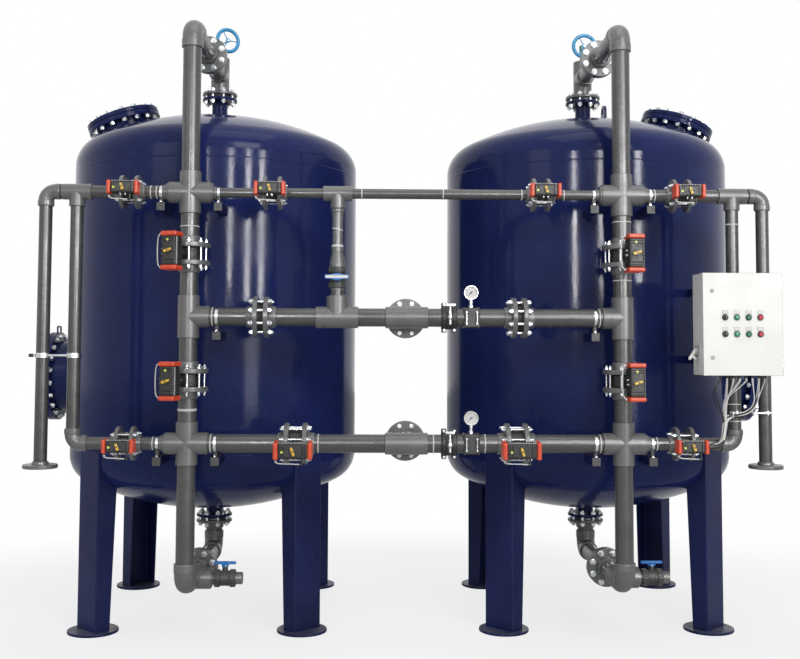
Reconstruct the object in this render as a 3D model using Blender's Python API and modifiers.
"""Twin-vessel water softener with face piping, pneumatic valves and a control cabinet.

Units are metres, +Z is up and the front faces -Y. The origin is on the floor, under the middle
of the whole object. Each named object is one physical piece, or one piece with its fasteners.
"""

import math
from collections import namedtuple

import bmesh
import bpy
from mathutils import Matrix, Vector

# Clearances and facet counts
GAP = 0.0003
OVERRUN = 0.004
BITE = 0.002
MOULD_STEP = 0.0006
WELD_DISTANCE = 0.00001
SHELL_SIDES = 20
HATCH_SIDES = 10
PIPE_SIDES = 8
BORE_SIDES = 8
STUD_SIDES = 4
INNER_SIDES = 6
WHEEL_SIDES = 10
RIM_SIDES = 4
BEND_STEPS = 2

# Vessels
VESSEL_X = 1.067
VESSEL_RADIUS = 0.800
SHELL_WALL = 0.010
SHELL_BOTTOM_Z = 0.881
SHELL_TOP_Z = 2.489
CROWN_RADIUS = 1.600
KNUCKLE_RADIUS = 0.160
CROWN_STEPS = 2
KNUCKLE_STEPS = 2
NECK_RADIUS = 0.0445
TOP_JOINT_Z = 2.930
BOTTOM_JOINT_Z = 0.505

# Legs and feet
LEG_WEB = 0.180
LEG_DEPTH_TOP = 0.120
LEG_DEPTH_BOTTOM = 0.085
LEG_PLATE = 0.008
LEG_TOP_Z = 0.930
FOOT_RADIUS = 0.130
FOOT_THICKNESS = 0.014

# Hatches and lifting lug
TOP_HATCH_OFFSET = 0.530
TOP_HATCH_NECK = 0.165
TOP_HATCH_FLANGE = 0.208
TOP_HATCH_RISE = 0.050
HATCH_PLATE = 0.034
HATCH_WALL = 0.012
SIDE_HATCH_Z = 1.307
SIDE_HATCH_NECK = 0.200
SIDE_HATCH_FLANGE = 0.250
SIDE_HATCH_REACH = 0.090
SIDE_HATCH_START = 0.720
LUG_OFFSET = 0.125
LUG_THICKNESS = 0.016
LUG_WIDTH = 0.090
LUG_HEIGHT = 0.132
LUG_HOLE = 0.022
LUG_EYE_DROP = 0.036

# Resin bed
RESIN_TOP_Z = 1.750
RESIN_FOOT_SHARE = 0.75
RESIN_FLOOR_GAP = 0.032

# Pipe sizes
MAIN_RADIUS = 0.045
MAIN_WALL = 0.004
MAIN_SOCKET = 0.053
MAIN_FLANGE = 0.100
MAIN_FLANGE_T = 0.024
SIDE_RADIUS = 0.0315
SIDE_WALL = 0.003
SIDE_SOCKET = 0.039
SIDE_FLANGE = 0.0825
SIDE_FLANGE_T = 0.020
BRINE_RADIUS = 0.025
BRINE_WALL = 0.0024
BRINE_SOCKET = 0.037
TEE_HALF = 0.104
TEE_CAP = 0.012
SIDE_TEE_HALF = 0.072
ELBOW_BEND = 0.064
SIDE_ELBOW_BEND = 0.046

# Pipe routes
PIPE_STANDOFF = 0.160
UPPER_Z = 2.232
MIDDLE_Z = 1.621
LOWER_Z = 1.006
TOP_RUN_Z = 3.060
BOTTOM_RUN_Z = 0.327
TOP_RUN_JOINT_Y = -0.450
BOTTOM_RUN_JOINT_Y = -0.540
INNER_DROP_X = 1.618
OUTER_DROP_X = 1.770
DROP_END_Z = 0.885
STRAP_Z_LEFT = 1.430
STRAP_Z_RIGHT = 1.160
STRAP_RADIUS = 0.009
DRAIN_TEE_SETBACK = 0.160
DRAIN_START = 0.120
DRAIN_PIPE_RADIUS = 0.020

# Pneumatic butterfly valves
BIG_WAFER_HALF = 0.031
BIG_WAFER_RADIUS = 0.064
SMALL_WAFER_HALF = 0.025
SMALL_WAFER_RADIUS = 0.050
BIG_STEM = 0.0075
SMALL_STEM = 0.0060
BIG_ACTUATOR = (0.146, 0.086, 0.080)
SMALL_ACTUATOR = (0.125, 0.066, 0.066)
BIG_CAP = 0.022
SMALL_CAP = 0.020
CAP_LIP = 0.004
BIG_REACH = 0.158
SMALL_REACH = 0.125
NECK_SCALE = 2.4
NECK_SINK = 0.80
STEM_HOLE_START = 0.011
STEM_INSET = 0.004
DISC_HALF = 0.004
DISC_CLEARANCE = 0.0008
POINTER_THICKNESS = 0.012
POINTER_WIDTH = 0.013
POINTER_ANGLE = 72.0
POINTER_SPAN = 0.55
OUTER_VALVE_X = 1.358
INNER_UPPER_VALVE_X = 0.662
INNER_LOWER_VALVE_X = 0.537
UPPER_MAIN_VALVE_Z = 1.927
LOWER_MAIN_VALVE_Z = 1.313
LEFT_MAIN_TILT = 15.0
RIGHT_MAIN_TILT = 4.0
LOWER_INNER_TILT = 4.0

# Studs
STUD_RADIUS = 0.008
STUDS = 4
MAIN_STUD_CIRCLE = 0.080
SIDE_STUD_CIRCLE = 0.0625

# Headers
MIDDLE_LEFT_JOINT_X = -0.711
MIDDLE_RIGHT_JOINT_X = 0.552
SPACER_HALF = 0.013
SPACER_RADIUS = 0.068
BRINE_TEE_X = -0.342
PORT_REACH = 0.180
SAMPLE_X = 0.208
SAMPLE_RADIUS = 0.066
SAMPLE_HALF = 0.038
GAUGE_X = 0.317
GAUGE_BLOCK = 0.078
GAUGE_BLOCK_HEIGHT = 0.098
GAUGE_STEM_RADIUS = 0.009
GAUGE_RISE = 0.124
GAUGE_RADIUS = 0.036
GAUGE_DEPTH = 0.030
GAUGE_RIM = 0.003
GAUGE_RECESS = 0.008
GAUGE_POINTER = (0.040, 0.004, 0.003)
GAUGE_HUB = 0.005
GAUGE_REST_ANGLE = 225.0

# Brine column, measured down from the upper line
COLUMN_NUT = (0.070, 0.098, 0.031)
COLUMN_CONE = (0.100, 0.145, 0.028)
COLUMN_UNION = (0.264, 0.291, 0.0275)
COLUMN_FLARE_END = 0.365
COLUMN_FLARE_RADIUS = 0.040
BRINE_VALVE_TOP = 0.363
BRINE_VALVE_BOTTOM = 0.468

# Ball valves
BALL_NUT = 0.0435
BALL_NUT_LENGTH = 0.030
BALL_BODY = 0.037
BALL_BODY_LENGTH = 0.046
BALL_TAIL = 0.030
BALL_TAIL_LENGTH = 0.034
BALL_RADIUS = 0.021
BALL_CAVITY = 0.0280
BALL_BORE = 0.014
BALL_HOLE = 0.011
BALL_STEM = 0.0075
BALL_BOSS = 0.014
HANDLE_LENGTH = 0.108
BRINE_HANDLE_LENGTH = 0.118
HANDLE_HEIGHT = 0.022
HANDLE_THICKNESS = 0.020
HANDLE_RISE = 0.082
BRINE_HANDLE_THICKNESS = 0.030

# Vent valves
VENT_RADIUS = 0.017
VENT_HEIGHT = 0.104
VENT_WHEEL_Z = 3.245
VENT_BOSS = 0.013
VENT_BOSS_LENGTH = 0.030
VENT_SPINDLE = 0.005
VENT_SPINDLE_START = 0.012
VENT_REACH_LEFT = 0.110
VENT_REACH_RIGHT = 0.060
VENT_TURN_LEFT = 30.0
VENT_TURN_RIGHT = 0.0
WHEEL_RADIUS = 0.070
WHEEL_RIM = 0.008
WHEEL_HUB = 0.012
WHEEL_HUB_LENGTH = 0.016
WHEEL_SPOKE = 0.006
WHEEL_SPOKES = 3

# Pipe clamps on bracket stubs
CLAMP_OFFSET = 0.140
CLAMP_WIDTH = 0.026
CLAMP_BAND = 0.007
STUB_SIZE = 0.040
STUB_FRONT = 0.030
UPPER_STUB_DROP = 0.072
MIDDLE_STUB_DROP = 0.093
LOWER_STUB_DROP = 0.086

# Control cabinet
CABINET_X = 1.392
CABINET_WIDTH = 0.380
CABINET_Z = 1.347
CABINET_HEIGHT = 0.486
CABINET_STANDOFF = 0.085
CABINET_DEPTH = 0.140
CABINET_WALL = 0.003
DOOR_THICKNESS = 0.018
ARM_X = 1.495
ARM_SIZE = 0.040
ARM_INSET = 0.070
HINGE_RADIUS = 0.007
HINGE_LENGTH = 0.045
HINGE_INSET = 0.060
LOCK_X = 0.044
LOCK_INSET = 0.085
LOCK_RADIUS = 0.009
LOCK_PROUD = 0.005
CONTROL_X = 0.105
CONTROL_PITCH = 0.056
CONTROL_Z = 0.196
CONTROL_ROW_PITCH = 0.079
LAMP_COLUMN = 1
BEZEL_RADIUS = 0.0150
BEZEL_PROUD = 0.005
CAP_RADIUS = 0.0105
CAP_PROUD = 0.006
POCKET_DEPTH = 0.012
BUTTON_TRAVEL = 0.004
LAMP_PROUD = 0.010
KNOB_BLADE = 0.006
KNOB_PROUD = 0.014
KNOB_HEIGHT = 0.017
SWITCH_Z = 1.462
SWITCH_BASE = 0.026
SWITCH_BASE_PROUD = 0.008
SWITCH_LEVER = (0.012, 0.016, 0.060)
SWITCH_LEVER_DROP = 0.018
SWITCH_SPINDLE = 0.006
SWITCH_ANGLE = -35.0

# Cable loom under the cabinet
CABLE_RADIUS = 0.0045
BUNDLE_RADIUS = 0.013
RIGHT_BUNDLE_RADIUS = 0.011
GLAND_RADIUS = 0.009
GLAND_LENGTH = 0.014
GLANDS = 8
GLAND_SHARE = 0.081
GLAND_START_SHARE = 0.287
LEFT_CABLES = 5
CABLE_SAG = 0.020
LEFT_ROUTE = (
    (0.161, -0.080, -0.107), (0.157, -0.062, -0.147), (0.160, -0.052, -0.197),
    (0.158, -0.060, -0.252), (0.138, -0.092, -0.302), (0.118, -0.132, -0.327),
)
RIGHT_ROUTE = (
    (0.300, -0.096, -0.107), (0.308, -0.080, -0.142), (0.291, -0.062, -0.177),
    (0.248, -0.056, -0.195), (0.198, -0.054, -0.201), (0.160, -0.052, -0.197),
)

Pipe = namedtuple("Pipe", "radius bore socket flange thickness stud_circle")
MAIN = Pipe(
    MAIN_RADIUS, MAIN_RADIUS - MAIN_WALL, MAIN_SOCKET, MAIN_FLANGE, MAIN_FLANGE_T,
    MAIN_STUD_CIRCLE,
)
SIDE = Pipe(
    SIDE_RADIUS, SIDE_RADIUS - SIDE_WALL, SIDE_SOCKET, SIDE_FLANGE, SIDE_FLANGE_T,
    SIDE_STUD_CIRCLE,
)
BRINE = Pipe(
    BRINE_RADIUS, BRINE_RADIUS - BRINE_WALL, BRINE_SOCKET, SIDE_FLANGE, SIDE_FLANGE_T,
    SIDE_STUD_CIRCLE,
)

Valve = namedtuple("Valve", "pipe half wafer stem actuator cap reach")
BIG = Valve(
    MAIN, BIG_WAFER_HALF, BIG_WAFER_RADIUS, BIG_STEM, BIG_ACTUATOR, BIG_CAP, BIG_REACH
)
SMALL = Valve(
    SIDE, SMALL_WAFER_HALF, SMALL_WAFER_RADIUS, SMALL_STEM, SMALL_ACTUATOR, SMALL_CAP,
    SMALL_REACH,
)

UP = Vector((0, 0, 1))
DOWN = Vector((0, 0, -1))
FRONT = Vector((0, -1, 0))
BACK = Vector((0, 1, 0))
RIGHT = Vector((1, 0, 0))
LEFT = Vector((-1, 0, 0))
PIPE_Y = -(VESSEL_RADIUS + PIPE_STANDOFF)
CABINET_BACK_Y = PIPE_Y - CABINET_STANDOFF


def clear_scene():
    """Remove the objects that the file holds."""
    for item in list(bpy.data.objects):
        bpy.data.objects.remove(item, do_unlink=True)


def new_collection(name):
    """A collection linked to the scene."""
    group = bpy.data.collections.new(name)
    bpy.context.scene.collection.children.link(group)
    return group


def finish(name, colour, roughness, metallic=0.0):
    """A Principled material."""
    material = bpy.data.materials.new(name)
    material.use_nodes = True
    shader = material.node_tree.nodes["Principled BSDF"]
    shader.inputs["Base Color"].default_value = (*colour, 1.0)
    shader.inputs["Roughness"].default_value = roughness
    shader.inputs["Metallic"].default_value = metallic
    material.diffuse_color = (*colour, 1.0)
    return material


clear_scene()
PARTS = new_collection("water_softener")
TOOLS = new_collection("construction_tools")
NAVY = (0.012, 0.022, 0.105)
PVC = (0.095, 0.098, 0.100)
BLACK = (0.018, 0.018, 0.019)
BLUE = (0.010, 0.190, 0.600)
GREY_WHITE = (0.720, 0.730, 0.720)
STEEL = (0.560, 0.570, 0.580)


def as_tool(item):
    """Move an object to the construction collection, out of the model."""
    for group in list(item.users_collection):
        group.objects.unlink(item)
    TOOLS.objects.link(item)
    item.hide_render = True
    item.display_type = "WIRE"
    return item


def as_part(item, name, colour, roughness, metallic=0.0):
    """Name an object and give it its own material."""
    item.name = name
    item.data.name = name
    item.data.materials.append(finish(name, colour, roughness, metallic))
    return item


def turn_to(direction):
    """Rotation that brings +Z to a direction, with +X kept level where it can be."""
    return Vector(direction).normalized().to_track_quat("Z", "Y").to_matrix().to_4x4()


def add_object(name, mesh, place):
    """Link a mesh as an object at a placement matrix."""
    item = bpy.data.objects.new(name, mesh)
    PARTS.objects.link(item)
    item.matrix_world = place
    return item


def turned(name, profile, origin, direction, sides=PIPE_SIDES):
    """A turned solid. Profile points are (radius, height), down the outer side."""
    mesh = bpy.data.meshes.new(name)
    closed = profile[0] == profile[-1]
    points = profile[:-1] if closed else profile
    edges = [(i, i + 1) for i in range(len(points) - 1)]
    if closed:
        edges.append((len(points) - 1, 0))
    mesh.from_pydata([(r, 0.0, h) for r, h in points], edges, [])
    item = add_object(name, mesh, Matrix.Translation(origin) @ turn_to(direction))
    screw = item.modifiers.new("turn", "SCREW")
    screw.steps = sides
    screw.render_steps = sides
    screw.use_merge_vertices = True
    screw.merge_threshold = 0.00005
    screw.use_smooth_shade = False
    return item


def stepped(name, steps, origin, direction, sides=PIPE_SIDES):
    """A solid of stacked cylinders. Steps are (end distance, radius) from the origin."""
    starts = [0.0] + [end for end, _ in steps[:-1]]
    rows = [(start, end, radius) for start, (end, radius) in zip(starts, steps)]
    profile = [(0.0, rows[-1][1])]
    for start, end, radius in reversed(rows):
        profile += [(radius, end), (radius, start)]
    profile.append((0.0, rows[0][0]))
    return turned(name, profile, origin, direction, sides)


def rod(name, radius, start, end, sides=PIPE_SIDES):
    """A plain cylinder between two points."""
    start = Vector(start)
    span = Vector(end) - start
    return stepped(name, [(span.length, radius)], start, span, sides)


def block(name, size, place):
    """A box of a size about a placement matrix."""
    mesh = bpy.data.meshes.new(name)
    shape = bmesh.new()
    bmesh.ops.create_cube(shape, size=1.0)
    bmesh.ops.scale(shape, vec=Vector(size), verts=shape.verts)
    shape.to_mesh(mesh)
    shape.free()
    return add_object(name, mesh, place)


def ball(name, radius, centre, sides=INNER_SIDES):
    """A sphere."""
    mesh = bpy.data.meshes.new(name)
    shape = bmesh.new()
    bmesh.ops.create_uvsphere(shape, u_segments=sides, v_segments=sides // 2 + 1, radius=radius)
    shape.to_mesh(mesh)
    shape.free()
    turn = Matrix.Rotation(math.pi / (2 * sides), 4, "Z")
    return add_object(name, mesh, Matrix.Translation(centre) @ turn)


def tube(name, points, radius, sides=PIPE_SIDES):
    """A round tube along points, as a closed mesh."""
    curve = bpy.data.curves.new(name, "CURVE")
    curve.dimensions = "3D"
    curve.bevel_depth = radius
    curve.bevel_resolution = (sides - 4) // 2
    curve.use_fill_caps = True
    spline = curve.splines.new("POLY")
    spline.points.add(len(points) - 1)
    for knot, point in zip(spline.points, points):
        knot.co = (*point, 1.0)
    path = bpy.data.objects.new(name, curve)
    PARTS.objects.link(path)
    evaluated = path.evaluated_get(bpy.context.evaluated_depsgraph_get())
    mesh = bpy.data.meshes.new_from_object(evaluated)
    shape = bmesh.new()
    shape.from_mesh(mesh)
    bmesh.ops.remove_doubles(shape, verts=shape.verts, dist=0.00002)
    bmesh.ops.recalc_face_normals(shape, faces=shape.faces)
    shape.to_mesh(mesh)
    shape.free()
    place = path.matrix_world.copy()
    bpy.data.objects.remove(path, do_unlink=True)
    return add_object(name, mesh, place)


def bend(corner, before, after, radius):
    """Points of a round bend at a corner, between two directions of travel."""
    corner = Vector(corner)
    before = Vector(before)
    after = Vector(after)
    centre = corner - before * radius + after * radius
    points = []
    for step in range(BEND_STEPS + 1):
        angle = math.pi / 2 * step / BEND_STEPS
        points.append(centre - after * radius * math.cos(angle) + before * radius * math.sin(angle))
    return points


def elbow(name, corner, before, after, reach, pipe_socket, radius):
    """A socket elbow: straight, bend, straight."""
    corner = Vector(corner)
    points = [corner - Vector(before) * reach]
    points += bend(corner, before, after, radius)
    points.append(corner + Vector(after) * reach)
    return tube(name, points, pipe_socket)


def join(body, tool, operation):
    """A Boolean of a body with a construction object."""
    step = body.modifiers.new(tool.name, "BOOLEAN")
    step.operation = operation
    step.solver = "EXACT"
    step.object = as_tool(tool)


def fuse(body, *tools):
    """Weld or mould further shapes on to a body."""
    for tool in tools:
        join(body, tool, "UNION")


def cut(body, *tools):
    """Take shapes out of a body."""
    for tool in tools:
        join(body, tool, "DIFFERENCE")


def seal():
    """Weld the corners that the Booleans leave in the same place."""
    for item in list(PARTS.objects):
        if len(item.modifiers) > 1:
            step = item.modifiers.new("seal", "WELD")
            step.merge_threshold = WELD_DISTANCE


def centre_depth():
    """Move everything back so that the origin is under the middle of the whole depth."""
    front = -door_front() + BEZEL_PROUD + KNOB_PROUD
    shift = Matrix.Translation((0, (front - VESSEL_RADIUS) / 2, 0))
    for item in list(PARTS.objects) + list(TOOLS.objects):
        item.matrix_world = shift @ item.matrix_world


def cut_split(body, tool):
    """Take a shape out of a body whose flat faces are split into triangles first."""
    body.modifiers.new("split", "TRIANGULATE")
    join(body, tool, "DIFFERENCE")


def circle_points(count, radius, place):
    """Points on a circle in the XY plane of a placement, half a step off its X axis."""
    turns = [2 * math.pi * (i + 0.5) / count for i in range(count)]
    return [place @ Vector((radius * math.cos(a), radius * math.sin(a), 0.0)) for a in turns]


def running_hole(radius, sides=BORE_SIDES):
    """Corner radius of a faceted hole that a round shaft turns in."""
    return (radius + GAP) / math.cos(math.pi / sides)


def stud_ring(body, pipe, face, direction, length, stem=FRONT):
    """Studs out of a flange face, set either side of a valve's stem direction."""
    direction = Vector(direction)
    frame = Matrix((stem, direction.cross(stem), direction)).transposed().to_4x4()
    place = Matrix.Translation(Vector(face)) @ frame
    for number, point in enumerate(circle_points(STUDS, pipe.stud_circle, place)):
        start = point - direction * BITE
        fuse(body, rod(f"{body.name}_stud_{number}", STUD_RADIUS, start,
                       point + direction * length, STUD_SIDES))


def flange_end(length, pipe):
    """Steps of a plain pipe that ends in a flange."""
    return [(length - pipe.thickness, pipe.radius), (length, pipe.flange)]


def arm(name, pipe, origin, direction, length, socket_reach, socket):
    """A side arm of a tee or cross: socket, pipe and flange."""
    steps = [(socket_reach, socket)] + flange_end(length, pipe)
    return stepped(name, steps, origin, direction)


def stem_direction(along, tilt):
    """Direction of a valve stem: towards the front, turned about the pipe by a tilt."""
    angle = math.radians(tilt)
    if abs(along.x) > 0.5:
        return Vector((0, -math.cos(angle), -math.sin(angle)))
    return Vector((math.sin(angle), -math.cos(angle), 0))


def main_stem(side):
    """Direction of the stems of the two valves in a vessel's front pipe."""
    tilt = -LEFT_MAIN_TILT if side < 0 else RIGHT_MAIN_TILT
    return stem_direction(DOWN, tilt)


def head_points(tangent_z, up, shrink, start_radius):
    """Outer or inner line of a dished head, from its crown to its tangent."""
    crown = CROWN_RADIUS - shrink
    knuckle = KNUCKLE_RADIUS - shrink
    reach = VESSEL_RADIUS - KNUCKLE_RADIUS
    rise = math.sqrt((CROWN_RADIUS - KNUCKLE_RADIUS) ** 2 - reach ** 2)
    centre_z = tangent_z - up * rise
    split = math.asin(reach / (CROWN_RADIUS - KNUCKLE_RADIUS))
    first = math.asin(start_radius / crown)
    points = []
    for step in range(CROWN_STEPS + 1):
        angle = first + (split - first) * step / CROWN_STEPS
        points.append((crown * math.sin(angle), centre_z + up * crown * math.cos(angle)))
    for step in range(1, KNUCKLE_STEPS + 1):
        angle = split + (math.pi / 2 - split) * step / KNUCKLE_STEPS
        points.append((reach + knuckle * math.sin(angle), tangent_z + up * knuckle * math.cos(angle)))
    return points


def vessel_line(shrink):
    """The whole profile of the vessel, outer with no shrink, or its cavity."""
    top = head_points(SHELL_TOP_Z, 1, shrink, 0.0)
    bottom = head_points(SHELL_BOTTOM_Z, -1, shrink, 0.0)
    return top + bottom[::-1]


def crown_z(radius):
    """Height of the outside of the top head at a radius from the axis."""
    rise = math.sqrt(
        (CROWN_RADIUS - KNUCKLE_RADIUS) ** 2 - (VESSEL_RADIUS - KNUCKLE_RADIUS) ** 2
    )
    return SHELL_TOP_Z - rise + math.sqrt(CROWN_RADIUS ** 2 - radius ** 2)


def leg_shape(name, side, angle):
    """A folded channel leg with its web outward and its flanges tapered."""
    outer = VESSEL_RADIUS + LEG_PLATE - BITE
    shape = bmesh.new()
    rows = []
    for z, depth in ((LEG_TOP_Z, LEG_DEPTH_TOP), (FOOT_THICKNESS - BITE, LEG_DEPTH_BOTTOM)):
        half = LEG_WEB / 2
        inner = outer - LEG_PLATE
        outline = [
            (outer, -half), (outer, half), (outer - depth, half),
            (outer - depth, half - LEG_PLATE), (inner, half - LEG_PLATE),
            (inner, -half + LEG_PLATE), (outer - depth, -half + LEG_PLATE),
            (outer - depth, -half),
        ]
        rows.append([shape.verts.new((u, v, z)) for u, v in outline])
    top, bottom = rows
    count = len(top)
    for i in range(count):
        j = (i + 1) % count
        shape.faces.new((top[i], bottom[i], bottom[j], top[j]))
    shape.faces.new(top)
    shape.faces.new(bottom[::-1])
    bmesh.ops.recalc_face_normals(shape, faces=shape.faces)
    bmesh.ops.triangulate(shape, faces=[f for f in shape.faces if len(f.verts) > 4])
    mesh = bpy.data.meshes.new(name)
    shape.to_mesh(mesh)
    shape.free()
    place = Matrix.Translation((side * VESSEL_X, 0, 0)) @ Matrix.Rotation(angle, 4, "Z")
    return add_object(name, mesh, place)


def add_legs(body, side):
    """Four legs with round foot plates, on the vessel's diagonals."""
    centre_radius = VESSEL_RADIUS + LEG_PLATE - BITE - LEG_DEPTH_BOTTOM / 2
    for number in range(4):
        angle = math.pi / 4 + number * math.pi / 2
        x = side * VESSEL_X + centre_radius * math.cos(angle)
        y = centre_radius * math.sin(angle)
        fuse(body, leg_shape(f"{body.name}_leg_{number}", side, angle))
        foot = rod(f"{body.name}_foot_{number}", FOOT_RADIUS, (x, y, 0),
                   (x, y, FOOT_THICKNESS), HATCH_SIDES)
        fuse(body, foot)


def add_nozzles(body, side):
    """Flanged necks at the top and bottom of the vessel."""
    top_start = crown_z(0) - SHELL_WALL + BITE
    bottom_start = SHELL_BOTTOM_Z - (crown_z(0) - SHELL_TOP_Z) + SHELL_WALL - BITE
    ends = (("top", top_start, TOP_JOINT_Z, UP), ("bottom", bottom_start, BOTTOM_JOINT_Z, DOWN))
    for word, start, end, direction in ends:
        length = abs(end - start)
        steps = [(length - MAIN_FLANGE_T, NECK_RADIUS), (length, MAIN_FLANGE)]
        origin = (side * VESSEL_X, 0, start)
        fuse(body, stepped(f"{body.name}_{word}_nozzle", steps, origin, direction))


def top_hatch_frame(side):
    """Place on the dome where the top hatch stands, and its outward direction."""
    angle = math.asin(TOP_HATCH_OFFSET / CROWN_RADIUS)
    direction = Vector((side * math.sin(angle), 0, math.cos(angle)))
    point = Vector((side * (VESSEL_X + TOP_HATCH_OFFSET), 0, crown_z(TOP_HATCH_OFFSET)))
    return point, direction


def add_hatches(body, side):
    """The top and side manways: neck, flange and cover."""
    point, direction = top_hatch_frame(side)
    sink = 2 * SHELL_WALL + TOP_HATCH_NECK ** 2 / CROWN_RADIUS / 2
    steps = [
        (sink + TOP_HATCH_RISE, TOP_HATCH_NECK),
        (sink + TOP_HATCH_RISE + 2 * HATCH_PLATE, TOP_HATCH_FLANGE),
    ]
    top = stepped(f"{body.name}_top_hatch", steps, point - direction * sink, direction, HATCH_SIDES)
    start = math.sqrt(VESSEL_RADIUS ** 2 - SIDE_HATCH_NECK ** 2) - 2 * SHELL_WALL
    neck_end = VESSEL_RADIUS + SIDE_HATCH_REACH - start
    steps = [(neck_end, SIDE_HATCH_NECK), (neck_end + 2 * HATCH_PLATE, SIDE_HATCH_FLANGE)]
    origin = (side * (VESSEL_X + start), 0, SIDE_HATCH_Z)
    flank = stepped(f"{body.name}_side_hatch", steps, origin, (side, 0, 0), HATCH_SIDES)
    fuse(body, top, flank)


def cut_hatches(body, side):
    """The bores of both manway necks, up to the covers."""
    point, direction = top_hatch_frame(side)
    radius = TOP_HATCH_NECK - HATCH_WALL
    low = point - direction * (TOP_HATCH_NECK / 2)
    high = point + direction * (TOP_HATCH_RISE + HATCH_PLATE)
    cut(body, rod(f"{body.name}_top_hatch_bore", radius, low, high, HATCH_SIDES))
    radius = SIDE_HATCH_NECK - HATCH_WALL
    low = (side * (VESSEL_X + SIDE_HATCH_START), 0, SIDE_HATCH_Z)
    high = (side * (VESSEL_X + VESSEL_RADIUS + SIDE_HATCH_REACH + HATCH_PLATE), 0, SIDE_HATCH_Z)
    cut(body, rod(f"{body.name}_side_hatch_bore", radius, low, high, HATCH_SIDES))


def add_lug(body, side):
    """A lifting lug with an eye, beside the top nozzle."""
    x = side * (VESSEL_X + LUG_OFFSET)
    base = crown_z(LUG_OFFSET) - 2 * SHELL_WALL
    place = Matrix.Translation((x, 0, base + LUG_HEIGHT / 2))
    fuse(body, block(f"{body.name}_lug", (LUG_THICKNESS, LUG_WIDTH, LUG_HEIGHT), place))
    eye_z = base + LUG_HEIGHT - LUG_EYE_DROP
    reach = LUG_THICKNESS
    cut(body, rod(f"{body.name}_lug_eye", LUG_HOLE, (x - reach, 0, eye_z), (x + reach, 0, eye_z),
                  BORE_SIDES))


def add_clamp(body, number, x, z, drop, pipe_radius):
    """A bracket stub from the shell with a clamp round a level pipe."""
    offset = abs(x) - VESSEL_X
    shell_y = 2 * SHELL_WALL - math.sqrt(VESSEL_RADIUS ** 2 - (abs(offset) + STUB_SIZE) ** 2)
    front = PIPE_Y - STUB_FRONT
    length = shell_y - front
    place = Matrix.Translation((x, front + length / 2, z - drop))
    fuse(body, block(f"{body.name}_stub_{number}", (STUB_SIZE, length, STUB_SIZE), place))
    inner = running_hole(pipe_radius, INNER_SIDES)
    outer = inner + CLAMP_BAND
    half = CLAMP_WIDTH / 2
    profile = [(outer, half), (outer, -half), (inner, -half), (inner, half), (outer, half)]
    ring = turned(f"{body.name}_clamp_{number}", profile, (x, PIPE_Y, z), RIGHT, INNER_SIDES)
    foot_low = drop - STUB_SIZE / 2 + BITE
    foot_high = pipe_radius + CLAMP_BAND / 2
    middle = z - (foot_low + foot_high) / 2
    foot = block(f"{body.name}_clamp_foot_{number}",
                 (CLAMP_WIDTH - BITE, STUB_SIZE / 2, foot_low - foot_high),
                 Matrix.Translation((x, PIPE_Y, middle)))
    fuse(body, foot, ring)


def add_clamps(body, side):
    """The five pipe clamps of one vessel."""
    outer = side * (VESSEL_X + CLAMP_OFFSET)
    inner = side * (VESSEL_X - CLAMP_OFFSET)
    rows = [
        (outer, UPPER_Z, UPPER_STUB_DROP, SIDE_RADIUS),
        (inner, UPPER_Z, UPPER_STUB_DROP, BRINE_RADIUS),
        (inner, MIDDLE_Z, MIDDLE_STUB_DROP, MAIN_RADIUS),
        (outer, LOWER_Z, LOWER_STUB_DROP, SIDE_RADIUS),
        (inner, LOWER_Z, LOWER_STUB_DROP, MAIN_RADIUS),
    ]
    for number, row in enumerate(rows):
        add_clamp(body, number, *row)


def add_cabinet_arms(body):
    """Two square arms from the right-hand shell that carry the cabinet."""
    offset = ARM_X - VESSEL_X + ARM_SIZE
    shell_y = 2 * SHELL_WALL - math.sqrt(VESSEL_RADIUS ** 2 - offset ** 2)
    front = CABINET_BACK_Y + GAP
    for number, z in enumerate((CABINET_Z + ARM_INSET, CABINET_Z + CABINET_HEIGHT - ARM_INSET)):
        place = Matrix.Translation((ARM_X, (shell_y + front) / 2, z))
        size = (ARM_SIZE, shell_y - front, ARM_SIZE)
        fuse(body, block(f"{body.name}_arm_{number}", size, place))


def make_vessel(name, side):
    """A welded vessel with legs, nozzles, manways, lug, brackets and clamps."""
    axis = (side * VESSEL_X, 0, 0)
    body = as_part(turned(name, vessel_line(0.0), axis, UP, SHELL_SIDES), name, NAVY, 0.18)
    add_legs(body, side)
    add_nozzles(body, side)
    add_hatches(body, side)
    add_lug(body, side)
    add_clamps(body, side)
    if side > 0:
        add_cabinet_arms(body)
    cut(body, turned(f"{name}_cavity", vessel_line(SHELL_WALL), axis, UP, SHELL_SIDES))
    low = (side * VESSEL_X, 0, BOTTOM_JOINT_Z - OVERRUN)
    high = (side * VESSEL_X, 0, TOP_JOINT_Z + OVERRUN)
    cut(body, rod(f"{name}_nozzle_bore", MAIN.bore, low, high, INNER_SIDES))
    cut_hatches(body, side)
    return body


def make_resin_bed(name, side):
    """The settled bed of resin beads inside a vessel."""
    wide = VESSEL_RADIUS - SHELL_WALL - GAP
    foot = VESSEL_RADIUS * RESIN_FOOT_SHARE
    bottom = SHELL_BOTTOM_Z - (crown_z(foot) - SHELL_TOP_Z) + SHELL_WALL + RESIN_FLOOR_GAP
    profile = [
        (0.0, RESIN_TOP_Z), (wide, RESIN_TOP_Z), (wide, SHELL_BOTTOM_Z), (foot, bottom),
        (0.0, bottom),
    ]
    item = turned(name, profile, (side * VESSEL_X, 0, 0), UP, SHELL_SIDES)
    return as_part(item, name, (0.45, 0.24, 0.07), 0.8)


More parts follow.
